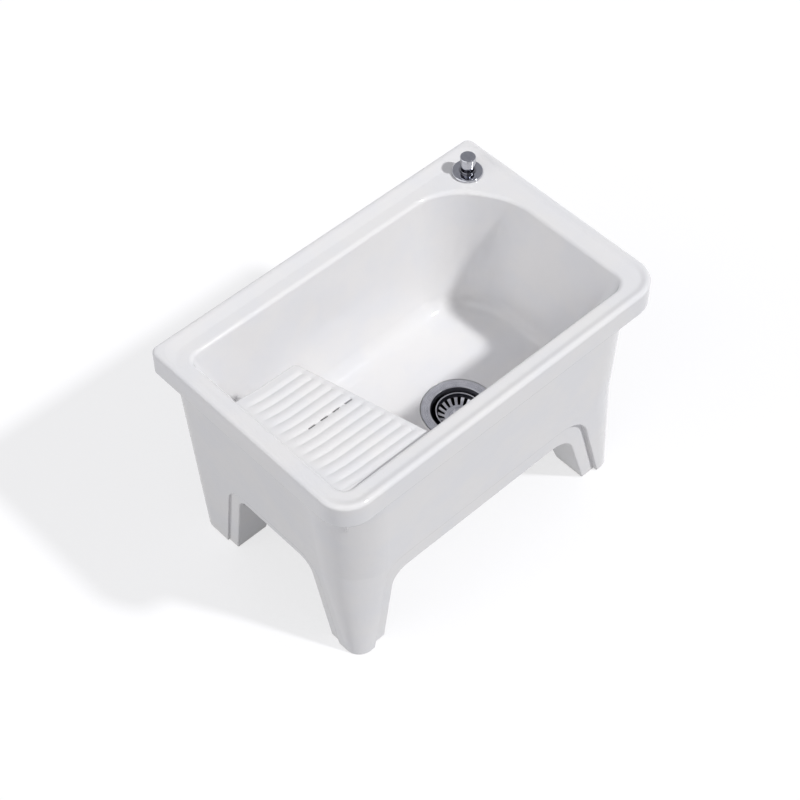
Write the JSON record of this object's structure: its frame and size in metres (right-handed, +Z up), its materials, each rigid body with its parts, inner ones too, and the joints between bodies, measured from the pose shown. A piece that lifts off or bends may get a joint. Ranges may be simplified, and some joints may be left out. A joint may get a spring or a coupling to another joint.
{
  "type": "mop sink",
  "caption": "Free-standing ceramic mop sink on four legs, with a washboard shelf, a basket waste and a knob-operated plug.",
  "frame": {"origin": "on the floor under the middle of the rim", "axes": "+X along the long side, away from the washboard; -Y towards the user; +Z up"},
  "size_m": [0.6, 0.387, 0.4294],
  "materials": {
    "glazed_china": "glossy white glaze",
    "stainless_steel": "pressed and polished stainless steel",
    "chrome_plate": "polished chrome plate",
    "zinc_steel": "bright zinc plate",
    "brass": "turned",
    "black_rubber": "matt",
    "white_plastic": "moulded, satin",
    "dark_plastic": "moulded, satin"
  },
  "bodies": {
    "sink": {"basin": "glazed_china", "strainer_cup": "stainless_steel", "flange_gasket": "black_rubber", "under_seal": "black_rubber", "waste_body": "white_plastic", "centre_screw": "stainless_steel", "pin_seal": "black_rubber", "shaft_seal": "black_rubber", "gland_nut": "white_plastic", "cable_bracket": "zinc_steel", "cable_adjuster": "zinc_steel", "adjuster_nut": "zinc_steel", "control_gasket": "black_rubber", "control_body": "chrome_plate", "spindle_seal": "black_rubber", "deck_washer_rubber": "black_rubber", "deck_washer_steel": "zinc_steel", "deck_nut": "brass", "slider_housing": "dark_plastic", "housing_cover": "dark_plastic", "control_cable_gland": "zinc_steel"},
    "control": {"control_knob": "chrome_plate", "grub_screw": "zinc_steel", "control_spindle": "brass"},
    "slide": {"cable_slider": "white_plastic"},
    "lever": {"lifter_shaft": "stainless_steel", "lifter_arm": "white_plastic", "cable_crank": "white_plastic", "crank_screw": "zinc_steel"},
    "pin": {"lift_pin": "stainless_steel"},
    "basket": {"basket_bowl": "stainless_steel", "basket_stem": "stainless_steel", "stopper_plate": "stainless_steel", "stopper_seal": "black_rubber", "stem_nut": "stainless_steel"}
  },
  "joints": [
    {"name": "control_turn", "type": "hinge", "parent": "sink", "child": "control", "pos_m": [0.2486, 0.1426, 0.3976], "axis": [0, 0, 1], "range_deg": [0, 90]},
    {"name": "cable_pull", "type": "slide", "parent": "sink", "child": "slide", "axis": [0, 0, 1], "range_m": [0, 0.0152]},
    {"name": "lifter_turn", "type": "hinge", "parent": "sink", "child": "lever", "pos_m": [0.039, -0.048, 0.113], "axis": [0, -1, 0], "range_deg": [0, 40]},
    {"name": "pin_lift", "type": "slide", "parent": "sink", "child": "pin", "axis": [0, 0, 1], "range_m": [0, 0.0095]},
    {"name": "basket_lift", "type": "slide", "parent": "pin", "child": "basket", "axis": [0, 0, 1], "range_m": [0, 0.29]}
  ],
  "couplings": [
    {"joint": "cable_pull", "follows": "control_turn", "m_per_rad": 0.0096},
    {"joint": "lifter_turn", "follows": "control_turn", "ratio": 0.4444},
    {"joint": "pin_lift", "follows": "control_turn", "m_per_rad": 0.00602}
  ]
}
